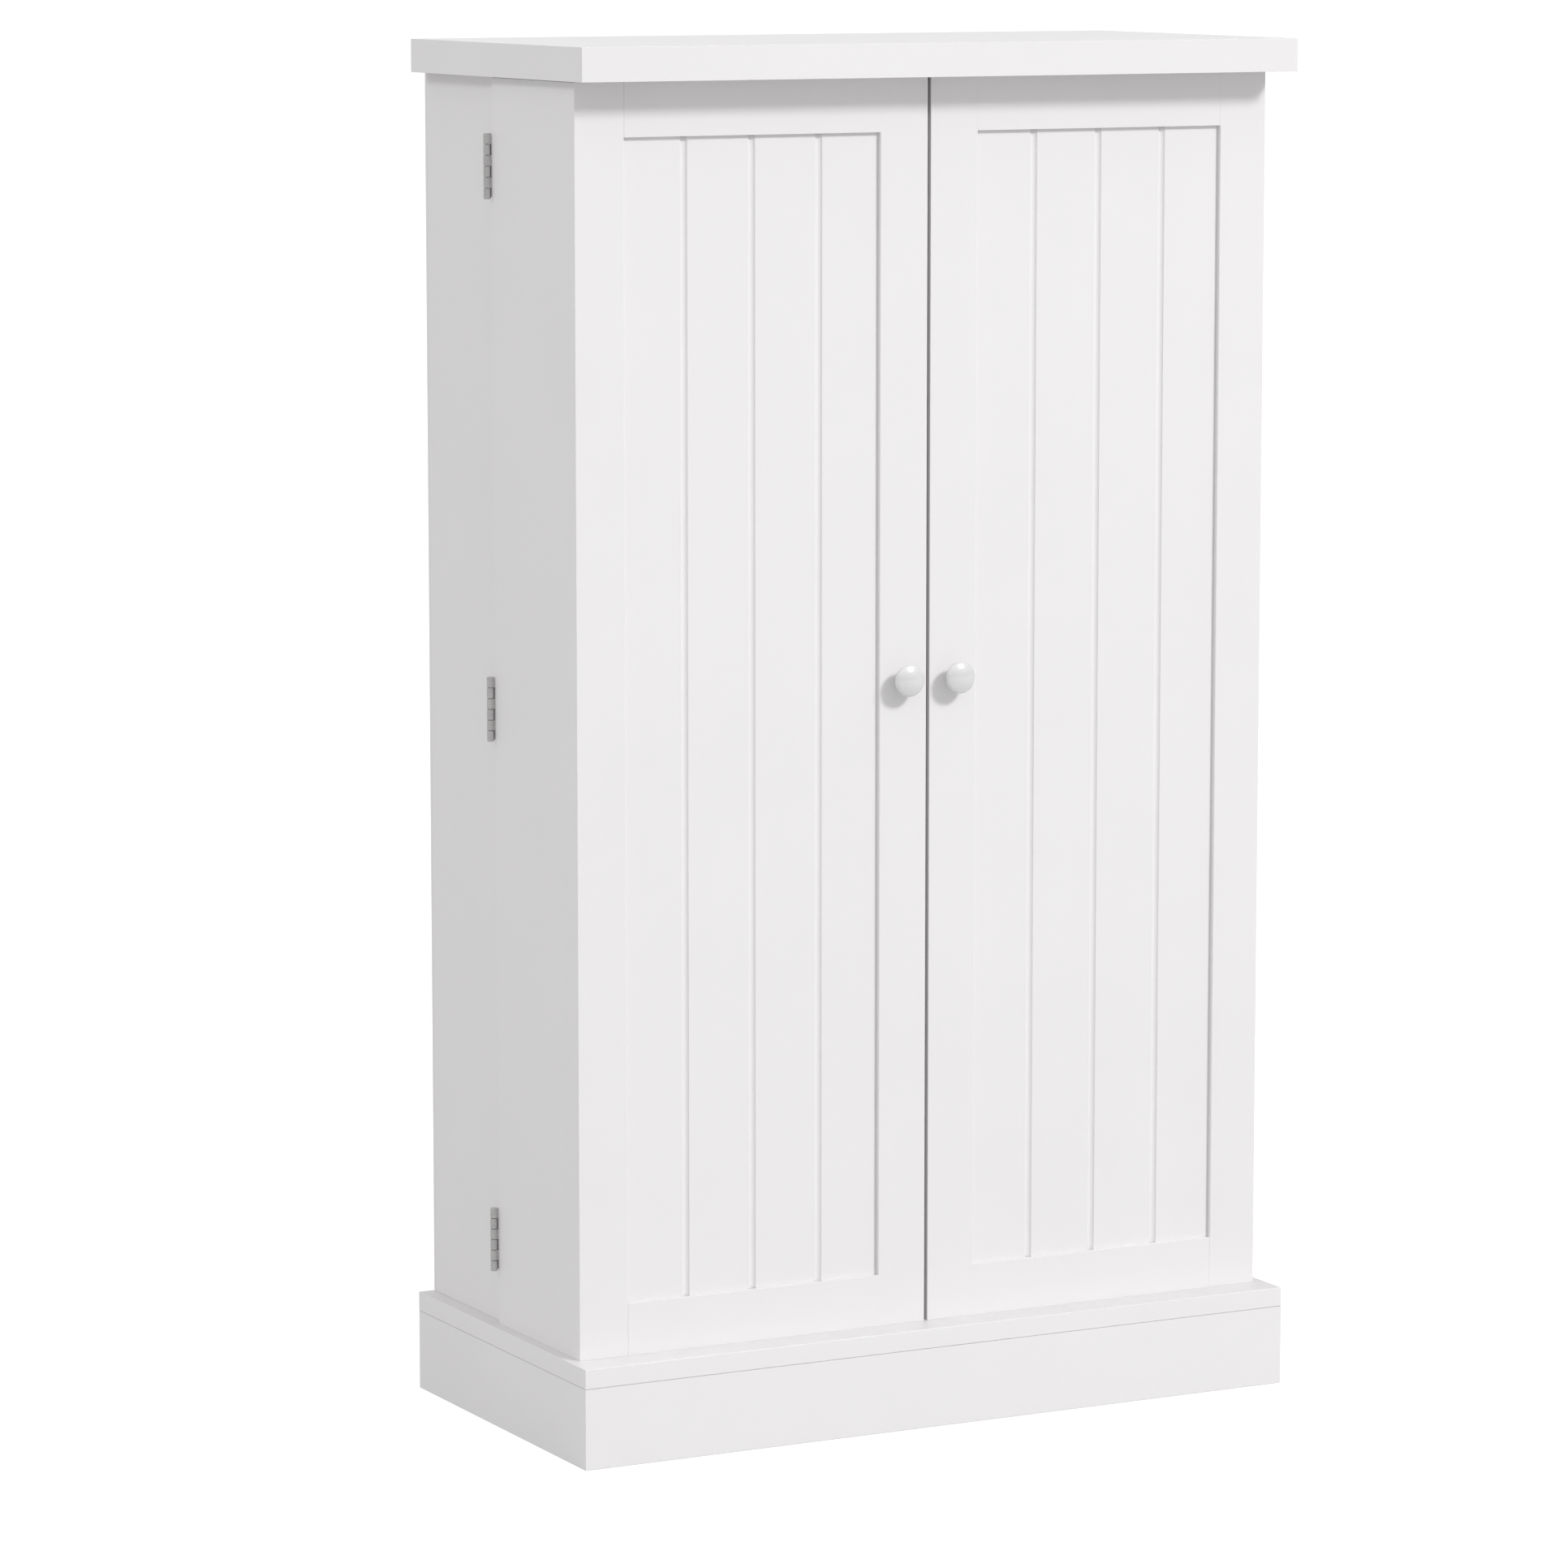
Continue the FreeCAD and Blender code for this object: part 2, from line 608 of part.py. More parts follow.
door_pieces = {
    "stile_outer": stile_outer,
    "stile_inner": stile_inner,
    "rail_top": rail_top,
    "rail_bottom": rail_bottom,
    "panel": panel,
    "side_outer": side_outer,
    "side_inner": side_inner,
    "box_top": box_top,
    "box_bottom": box_bottom,
    "rack_bars": group(bars),
    "knob": knob,
    "knob_screw": knob_screw,
    "strike_plate": strike,
    "hinge_leaves": group(door_leaves),
    "screws": group(door_screws),
}
for i, shelf in enumerate(rack_shelves):
    door_pieces["rack_shelf_" + str(i + 1)] = shelf

# ================================================================ export
carcass_pieces = {
    "top_board": top_board,
    "base_board": base_board,
    "plinth_front": plinth_front,
    "plinth_back": plinth_back,
    "plinth_left": plinth_left,
    "plinth_right": plinth_right,
    "plinth_blocks": plinth_blocks,
    "carcass_side_left": side_left,
    "carcass_side_right": side_right,
    "back_panel": back_panel,
    "back_panel_screws": back_panel_screws,
    "shelf_pins": shelf_pins,
    "cam_fittings": cam_fittings,
    "frame_hinge_leaves": frame_hinge_leaves,
    "wood_screws": wood_screws,
    "hinge_pins": hinge_pins,
    "magnet_catch": magnet_catch,
    "wall_brackets": wall_brackets,
}
for i, shelf in enumerate(shelves):
    carcass_pieces["shelf_" + str(i + 1)] = shelf

for name, shape in carcass_pieces.items():
    save(name, shape)
for name, shape in door_pieces.items():
    save("door_left_" + name, shape)
    save("door_right_" + name, mirrored(shape))
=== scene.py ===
import bpy
import bmesh
import json
import math
from mathutils import Matrix, Vector


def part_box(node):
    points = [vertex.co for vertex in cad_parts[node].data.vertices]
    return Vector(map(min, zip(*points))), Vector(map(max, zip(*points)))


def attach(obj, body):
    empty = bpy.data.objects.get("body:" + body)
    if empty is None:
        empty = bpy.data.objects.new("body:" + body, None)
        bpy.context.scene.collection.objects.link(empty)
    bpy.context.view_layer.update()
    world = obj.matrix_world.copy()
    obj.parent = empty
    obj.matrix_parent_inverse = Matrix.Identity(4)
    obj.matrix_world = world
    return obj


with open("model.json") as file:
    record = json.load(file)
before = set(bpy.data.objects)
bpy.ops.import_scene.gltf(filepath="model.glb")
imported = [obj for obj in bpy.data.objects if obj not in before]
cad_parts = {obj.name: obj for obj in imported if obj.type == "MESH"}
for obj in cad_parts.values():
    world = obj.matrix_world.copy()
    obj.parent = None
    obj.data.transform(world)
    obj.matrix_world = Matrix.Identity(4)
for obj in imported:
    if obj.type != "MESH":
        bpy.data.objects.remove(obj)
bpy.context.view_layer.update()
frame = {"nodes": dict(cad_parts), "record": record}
nodes = frame["nodes"]
scene = bpy.context.scene
scene.view_settings.view_transform = "Standard"


# ------------------------------------------------------------------ camera
YAW = math.radians(27.59)
PITCH = math.radians(8.07)
camera_data = bpy.data.cameras.new("Camera")
camera_data.sensor_width = 36.0
camera_data.lens = 145.3
camera_data.clip_end = 300.0
camera = bpy.data.objects.new("Camera", camera_data)
camera.location = (-2.2712, -4.2326, 1.1532)
camera.rotation_euler = (math.pi / 2 - PITCH, 0.0, -YAW)
scene.collection.objects.link(camera)
scene.camera = camera


# ------------------------------------------------------------------ light and floor
def soft_box(name, place, target, size, power):
    light = bpy.data.lights.new(name, "AREA")
    light.shape = "RECTANGLE"
    light.size, light.size_y = size
    light.energy = power
    lamp = bpy.data.objects.new(name, light)
    lamp.location = place
    lamp.rotation_euler = (Vector(target) - Vector(place)).to_track_quat("-Z", "Y").to_euler()
    scene.collection.objects.link(lamp)
    return lamp


MIDDLE = (0, 0, 0.6)    # about halfway up the cabinet
soft_box("Key", (4.41, -7.8, 6.8), MIDDLE, (2.2, 1.75), 655.0)
fill = soft_box("Fill", (-6.3, 0.45, 4.88), MIDDLE, (1.65, 1.65), 90.0)
fill.visible_glossy = False    # it lifts the shaded side without a second bright spot on the knobs

world = bpy.data.worlds.new("World")
scene.world = world
world.use_nodes = True
wt = world.node_tree
wt.nodes.clear()
seen = wt.nodes.new("ShaderNodeBackground")
seen.inputs["Color"].default_value = (1, 1, 1, 1)
seen.inputs["Strength"].default_value = 1.0
sky = wt.nodes.new("ShaderNodeBackground")
sky.inputs["Color"].default_value = (1, 1, 1, 1)
# The sky is a little dimmer near the horizon than overhead.
direction = wt.nodes.new("ShaderNodeSeparateXYZ")
wt.links.new(wt.nodes.new("ShaderNodeTexCoord").outputs["Generated"], direction.inputs[0])
rise = wt.nodes.new("ShaderNodeMath")
rise.operation = "ABSOLUTE"
wt.links.new(direction.outputs["Z"], rise.inputs[0])
level = wt.nodes.new("ShaderNodeMapRange")
level.interpolation_type = "SMOOTHSTEP"
level.inputs["From Min"].default_value = 0.0
level.inputs["From Max"].default_value = 0.8
level.inputs["To Min"].default_value = 0.51
level.inputs["To Max"].default_value = 0.88
wt.links.new(rise.outputs[0], level.inputs["Value"])
wt.links.new(level.outputs[0], sky.inputs["Strength"])
path = wt.nodes.new("ShaderNodeLightPath")
pick = wt.nodes.new("ShaderNodeMixShader")
out = wt.nodes.new("ShaderNodeOutputWorld")
wt.links.new(path.outputs["Is Camera Ray"], pick.inputs[0])
wt.links.new(sky.outputs[0], pick.inputs[1])
wt.links.new(seen.outputs[0], pick.inputs[2])
wt.links.new(pick.outputs[0], out.inputs[0])


# ------------------------------------------------------------------ material kit
class Graph:
    """A material's node tree, with short calls for the nodes that are used over and over."""

    def __init__(self, name):
        self.mat = bpy.data.materials.new(name)
        self.mat.use_nodes = True
        self.tree = self.mat.node_tree
        self.bsdf = self.tree.nodes["Principled BSDF"]
        self.coord = self.tree.nodes.new("ShaderNodeTexCoord").outputs["Object"]

    def link(self, a, b):
        self.tree.links.new(a, b)

    def set(self, **values):
        for key, value in values.items():
            self.bsdf.inputs[key.replace("_", " ")].default_value = value

    def stretch(self, scale):
        node = self.tree.nodes.new("ShaderNodeMapping")
        node.inputs["Scale"].default_value = scale
        self.link(self.coord, node.inputs["Vector"])
        return node.outputs[0]

    def noise(self, scale, detail=3.0, rough=0.5, vector=None):
        node = self.tree.nodes.new("ShaderNodeTexNoise")
        node.inputs["Scale"].default_value = scale
        node.inputs["Detail"].default_value = detail
        node.inputs["Roughness"].default_value = rough
        self.link(vector or self.coord, node.inputs["Vector"])
        return node.outputs["Fac"]

    def remap(self, value, low, high, to_low, to_high):
        node = self.tree.nodes.new("ShaderNodeMapRange")
        node.inputs["From Min"].default_value = low
        node.inputs["From Max"].default_value = high
        node.inputs["To Min"].default_value = to_low
        node.inputs["To Max"].default_value = to_high
        self.link(value, node.inputs["Value"])
        return node.outputs[0]

    def maths(self, operation, *values):
        node = self.tree.nodes.new("ShaderNodeMath")
        node.operation = operation
        for socket, value in zip(node.inputs, values):
            self.link(value, socket)
        return node.outputs[0]

    def part_of(self, vector, axis):
        parts = self.tree.nodes.new("ShaderNodeSeparateXYZ")
        self.link(vector, parts.inputs[0])
        return parts.outputs[axis]

    def facing(self, axis):
        """How far the surface faces along an axis of the object itself, from -1 to 1."""
        return self.part_of(self.coord.node.outputs["Normal"], axis)

    def mix(self, factor, a, b):
        node = self.tree.nodes.new("ShaderNodeMix")
        node.data_type = "RGBA"
        self.link(factor, node.inputs["Factor"])
        for socket, value in ((node.inputs["A"], a), (node.inputs["B"], b)):
            if isinstance(value, tuple):
                socket.default_value = (*value, 1.0)
            else:
                self.link(value, socket)
        return node.outputs["Result"]

    def colour(self, output):
        self.link(output, self.bsdf.inputs["Base Color"])

    def roughness(self, output):
        self.link(output, self.bsdf.inputs["Roughness"])

    def bump(self, *layers):
        """Each layer is (height, depth in metres); they are stacked one on another."""
        normal = None
        for height, depth in layers:
            node = self.tree.nodes.new("ShaderNodeBump")
            node.inputs["Strength"].default_value = 1.0
            node.inputs["Distance"].default_value = depth
            self.link(height, node.inputs["Height"])
            if normal:
                self.link(normal, node.inputs["Normal"])
            normal = node.outputs[0]
        self.link(normal, self.bsdf.inputs["Normal"])


DUST_AND_SHADE_GREY = (0.42, 0.41, 0.40)     # the grey of settled dust, also used for painted shade on the doors' meeting edges and on faces that face up


def grey(value):
    return (value, value, value)


def white(value):
    """The paint's white, a touch warm and pink."""
    return (value * 1.006, value * 0.99, value * 0.998)


def painted(name, tone, dust_and_shade=0.1, gap_shade=0.0, gloss=0.36):
    """Satin lacquer on board: a hardly visible mottle, sprayed-on texture, and a grey darkening on what faces
    up, part dust and part painted shade.

    Gap shade is painted shade: how much the doors' meeting edges are greyed, so that the gap between them
    reads dark."""
    g = Graph(name)
    mottle = g.remap(g.noise(9.0, 4.0, 0.6), 0.3, 0.7, 0.0, 1.0)
    clean = g.mix(mottle, white(tone * 0.992), white(tone * 1.008))
    # Painted shade: faces that face sideways near the doors' middle are greyed, standing in for the shade in
    # the gap between the doors.
    if gap_shade:
        sideways = g.remap(g.maths("ABSOLUTE", g.facing("X")), 0.8, 1.0, 0.0, gap_shade)
        middle = g.remap(g.maths("ABSOLUTE", g.part_of(g.coord, "X")), 0.002, 0.003, 1.0, 0.0)
        clean = g.mix(g.maths("MULTIPLY", sideways, middle), clean, DUST_AND_SHADE_GREY)
    # Faces that face up are darkened: part settled dust, part painted shade that dims the tops.
    lies = g.remap(g.facing("Z"), 0.8, 1.0, 0.0, 1.0)
    top_darkening = g.remap(g.noise(30.0, 4.0, 0.65), 0.3, 0.7, 0.9 * dust_and_shade, 1.1 * dust_and_shade)
    g.colour(g.mix(g.maths("MULTIPLY", lies, top_darkening), clean, DUST_AND_SHADE_GREY))
    g.roughness(g.remap(g.noise(60.0, 3.0), 0.3, 0.7, gloss - 0.03, gloss + 0.04))
    g.set(IOR=1.46)
    g.bump((g.noise(14.0, 2.0), 0.00012), (g.noise(420.0, 2.0, 0.5), 0.000012))
    return g.mat


def metal(name, tone, gloss, grain=(1, 1, 1), depth=0.00001, metallic=1.0, specks=0.1):
    """Plated steel: clouded tone, fine specks, and streaks along the direction that grain shortens."""
    g = Graph(name)
    streak = g.noise(900.0, 4.0, 0.6, g.stretch(grain))
    cloud = g.remap(g.noise(120.0, 3.0, 0.55), 0.3, 0.7, 0, 1)
    body = g.mix(cloud, tuple(t * 0.9 for t in tone), tuple(t * 1.05 for t in tone))
    speck = g.remap(g.noise(1100.0, 3.0, 0.6), 0.5, 0.7, 0.0, 1.0)
    g.colour(g.mix(speck, body, tuple(min(1.0, t * (1.0 + specks)) for t in tone)))
    g.roughness(g.remap(streak, 0.3, 0.7, gloss - 0.07, gloss + 0.09))
    g.set(Metallic=metallic)
    g.bump((streak, depth))
    return g.mat


def hardboard(name):
    """White on the face towards the shelves, pressed brown fibre behind and on the edges."""
    g = Graph(name)
    fibre = g.noise(320.0, 5.0, 0.7)
    blotch = g.noise(18.0, 4.0, 0.6)
    brown = g.mix(g.remap(fibre, 0.3, 0.7, 0, 1), (0.27, 0.17, 0.095), (0.46, 0.31, 0.19))
    brown = g.mix(g.remap(blotch, 0.35, 0.75, 0.0, 0.35), brown, (0.20, 0.12, 0.065))
    rear = g.remap(g.facing("Y"), 0.45, 0.55, 0, 1)
    g.colour(g.mix(rear, white(0.80), brown))
    g.roughness(g.remap(rear, 0, 1, 0.38, 0.78))
    g.bump((fibre, 0.00003))
    return g.mat


def softwood(name):
    """Sawn softwood for the hidden corner blocks."""
    g = Graph(name)
    rings = g.noise(40.0, 5.0, 0.6, g.stretch((6.0, 6.0, 0.7)))
    g.colour(g.mix(g.remap(rings, 0.35, 0.65, 0, 1), (0.62, 0.44, 0.25), (0.80, 0.63, 0.41)))
    g.roughness(g.remap(rings, 0.3, 0.7, 0.62, 0.8))
    g.bump((rings, 0.0002))
    return g.mat


def enamel(name):
    """Pearl grey, with part of its shine metallic, so the dome looks even and carries one bright spot."""
    g = Graph(name)
    cloud = g.remap(g.noise(70.0, 3.0), 0.3, 0.7, 0, 1)
    g.colour(g.mix(cloud, grey(0.78), grey(0.80)))
    g.roughness(g.remap(g.noise(300.0, 3.0), 0.3, 0.7, 0.12, 0.15))
    g.set(IOR=1.4, Metallic=0.35, Specular_Tint=(*grey(0.35), 1.0))
    g.bump((g.noise(160.0, 2.0), 0.000002))
    return g.mat


def moulded_plastic(name):
    g = Graph(name)
    pores = g.noise(1400.0, 2.0)
    g.colour(g.mix(g.remap(g.noise(50.0), 0.3, 0.7, 0, 1), grey(0.74), grey(0.78)))
    g.roughness(g.remap(pores, 0.3, 0.7, 0.42, 0.55))
    g.bump((pores, 0.00002))
    return g.mat


def sintered(name):
    """The catch's dark ferrite magnets."""
    g = Graph(name)
    grit = g.noise(900.0, 3.0, 0.6)
    g.colour(g.mix(g.remap(grit, 0.3, 0.7, 0, 1), (0.035, 0.034, 0.033), (0.075, 0.072, 0.070)))
    g.roughness(g.remap(grit, 0.3, 0.7, 0.45, 0.65))
    g.bump((grit, 0.00002))
    return g.mat


def clear_rubber(name):
    """The doors' silicone dots."""
    g = Graph(name)
    cloud = g.remap(g.noise(200.0, 3.0), 0.3, 0.7, 0, 1)
    g.colour(g.mix(cloud, (0.80, 0.80, 0.79), (0.86, 0.86, 0.85)))
    g.roughness(g.remap(g.noise(500.0, 2.0), 0.3, 0.7, 0.18, 0.28))
    g.set(IOR=1.41, Transmission_Weight=0.35)
    g.bump((g.noise(90.0, 2.0), 0.00003))
    return g.mat


white_door = painted("white_door", 0.804)
# The inner stiles' paint, with painted shade on their meeting edges.
white_door_gap_shade = painted("white_door_gap_shade", 0.804, gap_shade=0.35)
# The base's tops are darkened more strongly: part dust, part painted shade that dims the ledge.
white_base = painted("white_base", 0.815, dust_and_shade=0.33)
zinc_steel = metal("zinc_steel", (0.60, 0.60, 0.61), 0.32)
ferrite = sintered("ferrite")
silicone = clear_rubber("silicone")
finishes = {
    "white_board": painted("white_board", 0.797, dust_and_shade=0.06),
    "white_door": white_door,
    "back_board": hardboard("back_board"),
    "pine": softwood("pine"),
    "zinc_steel": zinc_steel,
    "hinge_steel": metal("hinge_steel", (0.56, 0.555, 0.55), 0.36, (1, 1, 0.3), metallic=0.65, specks=0.2),
    "knob_enamel": enamel("knob_enamel"),
    "catch_plastic": moulded_plastic("catch_plastic"),
    "cam_zinc": metal("cam_zinc", (0.46, 0.46, 0.47), 0.5, depth=0.00004),
}
slots = {row["node"]: row["material_slot"] for row in frame["record"]["subparts"]}


def in_base(name):
    """The base is the base board and the plinth's painted boards."""
    return name == "base_board" or name.startswith("plinth_") and slots[name] == "white_board"


for name, node in nodes.items():
    finish = finishes[slots[name]]
    if in_base(name):
        finish = white_base
    # The inner stiles carry the painted shade of the gap between the doors.
    elif name.endswith("_stile_inner"):
        finish = white_door_gap_shade
    for slot in node.material_slots:
        slot.material = finish


# ------------------------------------------------------------------ edges of the CAD pieces
TOUCH = 0.00025                # two faces closer than this meet in a joint
REACH = 0.0001                 # an edge this close to a joint belongs to it
SHARP = math.radians(30.0)     # edges turning more than this are rounded
ACUTE = math.radians(100.0)    # mitred edges turn more than this, and count as joints
SHORT = 0.003                  # shorter edges belong to holes and small curves, and stay as they are
NONE = 9.0                     # no edge is longer than this, so none is rounded


def square_faces(node):
    """The node's faces square to an axis, as {(axis, sign, place): [low corner, high corner]}."""
    found = {}
    for poly in node.data.polygons:
        for axis in range(3):
            if abs(poly.normal[axis]) < 0.9999:
                continue
            key = (axis, poly.normal[axis] > 0, round(poly.center[axis], 5))
            spots = [node.data.vertices[i].co for i in poly.vertices] + found.get(key, [])
            found[key] = [Vector([min(p[i] for p in spots) for i in range(3)]),
                          Vector([max(p[i] for p in spots) for i in range(3)])]
    return found


faces = {name: square_faces(node) for name, node in nodes.items()}


def joint_share(name, other, share):
    """The outer stiles meet their rails in a fine open line; the doors' other joints are painted over."""
    pair = name + " " + other
    return OPEN_JOINT if "stile_outer" in pair and "_rail_" in pair else share


def joints_of(name, share):
    """The flat boxes in which a neighbour's face meets this piece's face, each with its share of rounding."""
    found = []
    for (axis, sign, place), (low, high) in faces[name].items():
        for other in nodes:
            if other == name:
                continue
            for (axis_b, sign_b, place_b), (low_b, high_b) in faces[other].items():
                if axis_b != axis or sign_b == sign or abs(place_b - place) > TOUCH:
                    continue
                start = Vector([max(low[i], low_b[i]) for i in range(3)])
                end = Vector([min(high[i], high_b[i]) for i in range(3)])
                start[axis], end[axis] = sorted((place, place_b))
                if all(end[i] - start[i] > 0.002 for i in range(3) if i != axis):
                    found.append((start, end, joint_share(name, other, share)))
    return found


def edge_weights(name, joints, open_share, share, shortest):
    """Geometry nodes that mark how much of the rounding each edge takes, and shade the faces smooth."""
    tree = bpy.data.node_groups.new("Edges_" + name, "GeometryNodeTree")
    tree.interface.new_socket("Geometry", in_out="INPUT", socket_type="NodeSocketGeometry")
    tree.interface.new_socket("Geometry", in_out="OUTPUT", socket_type="NodeSocketGeometry")

    def node(kind, *inputs, operation=None):
        made = tree.nodes.new(kind)
        if operation:
            made.operation = operation
        for socket, value in zip(made.inputs, inputs):
            if isinstance(value, bpy.types.NodeSocket):
                tree.links.new(value, socket)
            else:
                socket.default_value = value
        return made.outputs[0]

    def maths(operation, *inputs):
        return node("ShaderNodeMath", *inputs, operation=operation)

    def vector(operation, *inputs):
        return node("ShaderNodeVectorMath", *inputs, operation=operation)

    turn = node("GeometryNodeInputMeshEdgeAngle")
    ends = tree.nodes.new("GeometryNodeInputMeshEdgeVertices")
    apart = tree.nodes.new("ShaderNodeVectorMath")
    apart.operation = "DISTANCE"
    tree.links.new(ends.outputs["Position 1"], apart.inputs[0])
    tree.links.new(ends.outputs["Position 2"], apart.inputs[1])
    sharp = maths("GREATER_THAN", turn, SHARP)
    long = maths("GREATER_THAN", apart.outputs["Value"], shortest)
    acute = maths("GREATER_THAN", turn, ACUTE)
    weight = maths("MULTIPLY_ADD", acute, share - open_share, open_share)
    place = node("GeometryNodeInputPosition")
    for start, end, joint in joints:
        beyond = vector("SUBTRACT", vector("ABSOLUTE", vector("SUBTRACT", place, (start + end) / 2)),
                        (end - start) / 2)
        parts = tree.nodes.new("ShaderNodeSeparateXYZ")
        tree.links.new(beyond, parts.inputs[0])
        worst = maths("MAXIMUM", maths("MAXIMUM", parts.outputs[0], parts.outputs[1]), parts.outputs[2])
        inside = maths("LESS_THAN", worst, REACH)
        kept = maths("MULTIPLY", weight, maths("SUBTRACT", 1.0, inside))
        weight = maths("MULTIPLY_ADD", inside, joint, kept)
    store = tree.nodes.new("GeometryNodeStoreNamedAttribute")
    store.data_type = "FLOAT"
    store.domain = "EDGE"
    store.inputs["Name"].default_value = "bevel_weight_edge"
    tree.links.new(maths("MULTIPLY", maths("MULTIPLY", sharp, long), weight), store.inputs["Value"])
    tree.links.new(tree.nodes.new("NodeGroupInput").outputs[0], store.inputs["Geometry"])
    smooth = tree.nodes.new("GeometryNodeSetShadeSmooth")
    tree.links.new(store.outputs[0], smooth.inputs["Geometry"])
    crisp = tree.nodes.new("GeometryNodeSetShadeSmooth")
    crisp.domain = "EDGE"
    crisp.inputs["Shade Smooth"].default_value = False
    tree.links.new(maths("SUBTRACT", sharp, long), crisp.inputs["Selection"])
    tree.links.new(smooth.outputs[0], crisp.inputs["Geometry"])
    tree.links.new(crisp.outputs[0], tree.nodes.new("NodeGroupOutput").inputs[0])
    return tree


def soften(name, radius, open_share, share, shortest):
    """Rounds a piece's sharp edges with modifiers; the mesh under them stays as it is."""
    node = nodes[name]
    weld = node.modifiers.new("Weld", "WELD")
    weld.merge_threshold = 0.000002
    clean = node.modifiers.new("Clean", "DECIMATE")
    clean.decimate_type = "DISSOLVE"
    clean.angle_limit = math.radians(1.0)
    mark = node.modifiers.new("Edges", "NODES")
    mark.node_group = edge_weights(name, joints_of(name, share), open_share, share, shortest)
    bevel = node.modifiers.new("Bevel", "BEVEL")
    bevel.width = radius
    bevel.segments = 2
    bevel.limit_method = "WEIGHT"
    even = node.modifiers.new("Normals", "WEIGHTED_NORMAL")
    even.mode = "FACE_AREA"
    even.weight = 80
    even.keep_sharp = True


# Rounding in metres, then the shares of it on open edges and on edges where two pieces meet.
rounding = {
    "white_board": (0.0005, 1.0, 0.6), "white_door": (0.0005, 1.0, 0.15), "pine": (0.0008, 1.0, 0.6),
    "catch_plastic": (0.0003, 1.0, 0.3), "zinc_steel": (0.0002, 1.0, 0.5),
    "hinge_steel": (0.0001, 1.0, 0.5), "back_board": (0.0002, 1.0, 0.5),
}
OPEN_JOINT = 0.7
# The base board's lower edge is rounded over the plinth's crisp one, which leaves a thin dark line.
BASE_EDGES = (0.0007, 0.5, 1.0)
TOP_EDGES = (0.0005, 0.3, 0.6)
PLINTH_EDGES = (0.0005, 1.0, 0.1)
for name in nodes:
    style = rounding.get(slots[name])
    if name == "base_board":
        style = BASE_EDGES
    elif name == "top_board":
        style = TOP_EDGES
    elif in_base(name):
        style = PLINTH_EDGES
    if style:
        # The grooved door panels' own edges are hidden, and their grooves are cut crisp.
        soften(name, *style, NONE if name.endswith("_panel") else SHORT)


# ------------------------------------------------------------------ small pieces that only show close up
def finished(name, bm, material, body):
    mesh = bpy.data.meshes.new(name)
    bmesh.ops.recalc_face_normals(bm, faces=bm.faces)
    for part in bm.faces:
        part.smooth = True
    bm.to_mesh(mesh)
    bm.free()
    mesh.materials.append(material)
    piece = bpy.data.objects.new(name, mesh)
    scene.collection.objects.link(piece)
    even = piece.modifiers.new("Normals", "WEIGHTED_NORMAL")
    even.mode = "FACE_AREA"
    even.weight = 80
    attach(piece, body)
    return piece


def rounded_block(name, low, high, radius, material, body):
    bm = bmesh.new()
    bmesh.ops.create_cube(bm, size=1.0)
    for vert in bm.verts:
        for axis in range(3):
            vert.co[axis] = low[axis] if vert.co[axis] < 0 else high[axis]
    bmesh.ops.bevel(bm, geom=list(bm.edges), offset=radius, segments=3, profile=0.5, affect="EDGES")
    return finished(name, bm, material, body)


def turned(name, profile, foot, along, material, body, steps=40):
    """A lathe piece: profile lists (radius, height) from foot along a direction, closed at both ends."""
    bm = bmesh.new()
    turn = Vector(along).to_track_quat("Z", "Y").to_matrix().to_4x4()
    place = Matrix.Translation(foot) @ turn
    rings = []
    for radius, height in profile:
        angles = [2 * math.pi * i / steps for i in range(steps)]
        rings.append([bm.verts.new(place @ Vector((radius * math.cos(a), radius * math.sin(a), height)))
                      for a in angles])
    for lower, upper in zip(rings, rings[1:]):
        for i in range(steps):
            j = (i + 1) % steps
            bm.faces.new((lower[i], lower[j], upper[j], upper[i]))
    bm.faces.new(rings[0][::-1])
    bm.faces.new(rings[-1])
    return finished(name, bm, material, body)


# White edge banding covers the boards' cut lower ends and leaves hardly a gap above the base board.
HAIR = 0.00002                 # between two pieces that all but touch
BAND_ROUNDING = 0.00003
base_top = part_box("base_board")[1][2]
for side in ("left", "right"):
    sign = -1 if side == "left" else 1
    front_low, front_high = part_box("door_" + side + "_stile_outer")
    inner_low, inner_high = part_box("door_" + side + "_stile_inner")
    outer_low, outer_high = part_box("door_" + side + "_side_outer")
    x0, x1 = min(front_low[0], inner_low[0]), max(front_high[0], inner_high[0])
    for part, low, high in (
            ("front", (x0, front_low[1]), (x1, front_high[1])),
            ("side", (outer_low[0], front_high[1]), (outer_high[0], outer_high[1]))):
        rounded_block("door_" + side + "_edge_band_" + part, (*low, base_top + HAIR),
                      (*high, front_low[2]), BAND_ROUNDING, white_door, "door_" + side)

